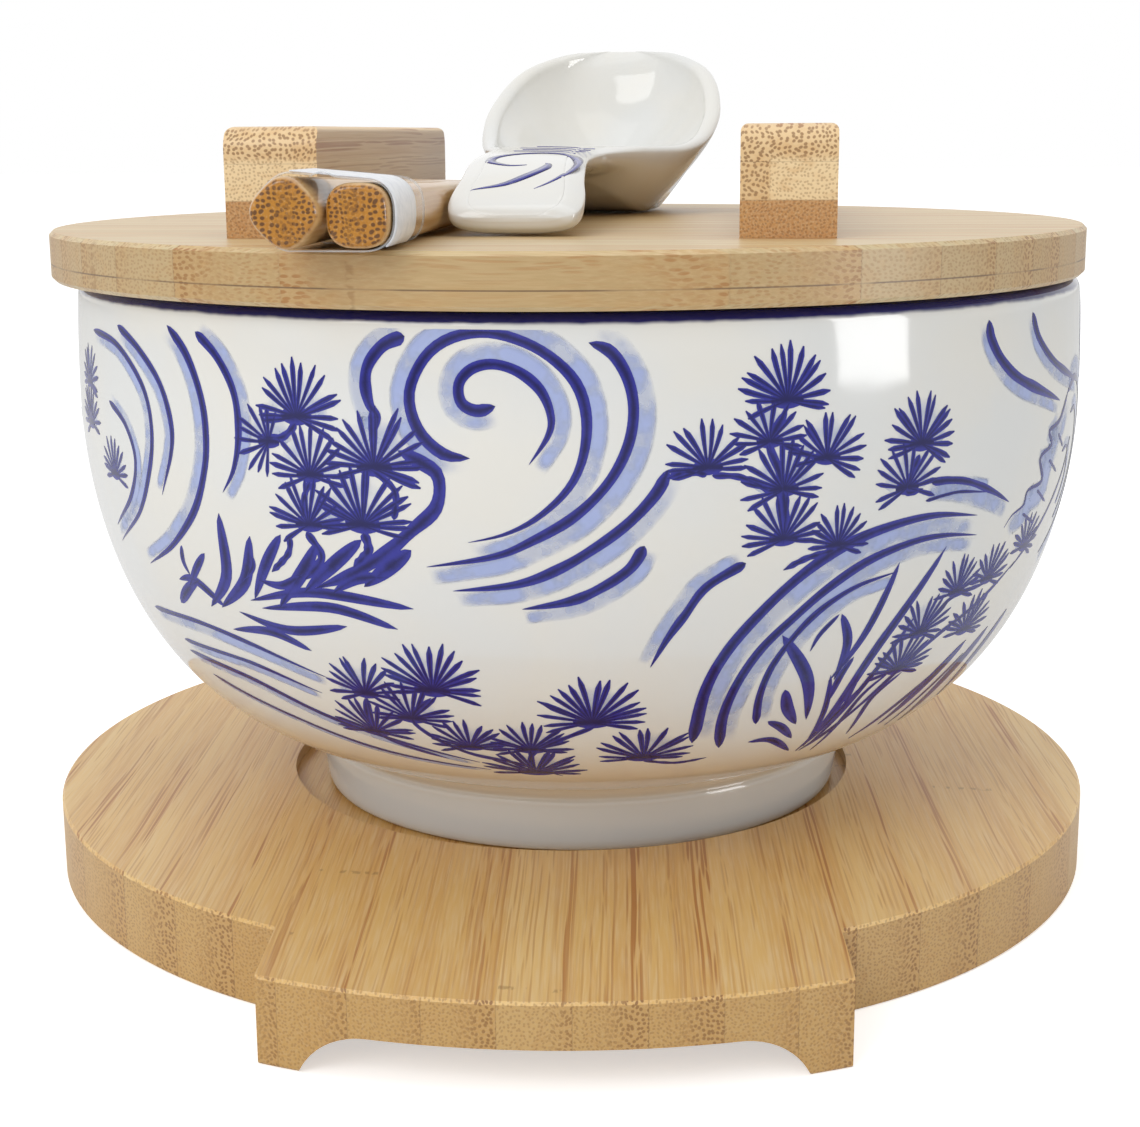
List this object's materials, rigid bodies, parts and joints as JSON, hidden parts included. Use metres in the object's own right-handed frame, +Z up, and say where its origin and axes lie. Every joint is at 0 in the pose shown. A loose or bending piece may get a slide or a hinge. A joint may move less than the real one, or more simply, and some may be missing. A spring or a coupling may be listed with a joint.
{
  "type": "donburi bowl with lid",
  "caption": "Porcelain donburi bowl under a flat bamboo lid with bar handles, on a tabbed bamboo tray, with a soup spoon and wrapped chopsticks on the lid.",
  "frame": {"origin": "middle of the tray's flat underside, on the table", "axes": "+Z up through the bowl, -Y the front from which the square ends of the chopsticks are seen, +X to the right from the front"},
  "size_m": [0.172, 0.2397, 0.1339],
  "materials": {
    "tray_bamboo": "clear satin varnish on glued bamboo strips",
    "lid_bamboo": "clear satin varnish on glued bamboo strips",
    "bar_bamboo": "satin laminated bamboo",
    "dowel_wood": "bare wood",
    "bowl_porcelain": "clear glaze over blue underglaze brushwork",
    "spoon_porcelain": "clear glaze",
    "chopstick_bamboo": "glossy amber lacquer on carbonised bamboo",
    "film": "thin clear film",
    "label_paper": "blank coated paper"
  },
  "bodies": {
    "tray": {"tray_strip_1": "tray_bamboo", "tray_strip_2": "tray_bamboo", "tray_strip_3": "tray_bamboo", "tray_strip_4": "tray_bamboo", "tray_strip_5": "tray_bamboo", "tray_strip_6": "tray_bamboo", "tray_strip_7": "tray_bamboo", "tray_strip_8": "tray_bamboo", "tray_strip_9": "tray_bamboo", "tray_strip_10": "tray_bamboo", "tray_strip_11": "tray_bamboo", "tray_strip_12": "tray_bamboo", "tray_strip_13": "tray_bamboo", "tray_strip_14": "tray_bamboo", "tray_strip_15": "tray_bamboo", "tray_strip_16": "tray_bamboo", "tray_strip_17": "tray_bamboo", "tray_strip_18": "tray_bamboo"},
    "bowl": {"bowl": "bowl_porcelain"},
    "lid": {"lid_strip_1": "lid_bamboo", "lid_strip_2": "lid_bamboo", "lid_strip_3": "lid_bamboo", "lid_strip_4": "lid_bamboo", "lid_strip_5": "lid_bamboo", "lid_strip_6": "lid_bamboo", "lid_strip_7": "lid_bamboo", "lid_strip_8": "lid_bamboo", "lid_strip_9": "lid_bamboo", "lid_strip_10": "lid_bamboo", "lid_strip_11": "lid_bamboo", "lid_strip_12": "lid_bamboo", "lid_strip_13": "lid_bamboo", "lid_strip_14": "lid_bamboo", "lid_strip_15": "lid_bamboo", "lid_strip_16": "lid_bamboo", "lid_strip_17": "lid_bamboo", "lid_strip_18": "lid_bamboo", "lid_strip_19": "lid_bamboo", "lid_strip_20": "lid_bamboo", "lid_lower_ply": "lid_bamboo", "lid_locating_disc": "lid_bamboo", "handle_bar_left_lower": "bar_bamboo", "handle_bar_left_middle": "bar_bamboo", "handle_bar_left_top": "bar_bamboo", "handle_bar_right_lower": "bar_bamboo", "handle_bar_right_middle": "bar_bamboo", "handle_bar_right_top": "bar_bamboo", "handle_dowels": "dowel_wood"},
    "wrap": {"wrap_film": "film", "wrap_label": "label_paper"},
    "chopstick_left": {"chopstick_left": "chopstick_bamboo"},
    "chopstick_right": {"chopstick_right": "chopstick_bamboo"},
    "spoon": {"spoon": "spoon_porcelain"}
  },
  "joints": [
    {"name": "bowl_lift", "type": "slide", "parent": "tray", "child": "bowl", "axis": [0, 0, 1], "range_m": [0, 0.12]},
    {"name": "lid_lift", "type": "slide", "parent": "bowl", "child": "lid", "axis": [0, 0, 1], "range_m": [0, 0.1]},
    {"name": "chopsticks_lift", "type": "slide", "parent": "lid", "child": "wrap", "axis": [0, 0, 1], "range_m": [0, 0.06]},
    {"name": "chopstick_left_pull", "type": "slide", "parent": "wrap", "child": "chopstick_left", "axis": [-0.1115, -0.9938, 0], "range_m": [0, 0.225]},
    {"name": "chopstick_right_pull", "type": "slide", "parent": "wrap", "child": "chopstick_right", "axis": [-0.1115, -0.9938, 0], "range_m": [0, 0.225]},
    {"name": "spoon_lift", "type": "slide", "parent": "wrap", "child": "spoon", "axis": [0, 0, 1], "range_m": [0, 0.08]}
  ]
}
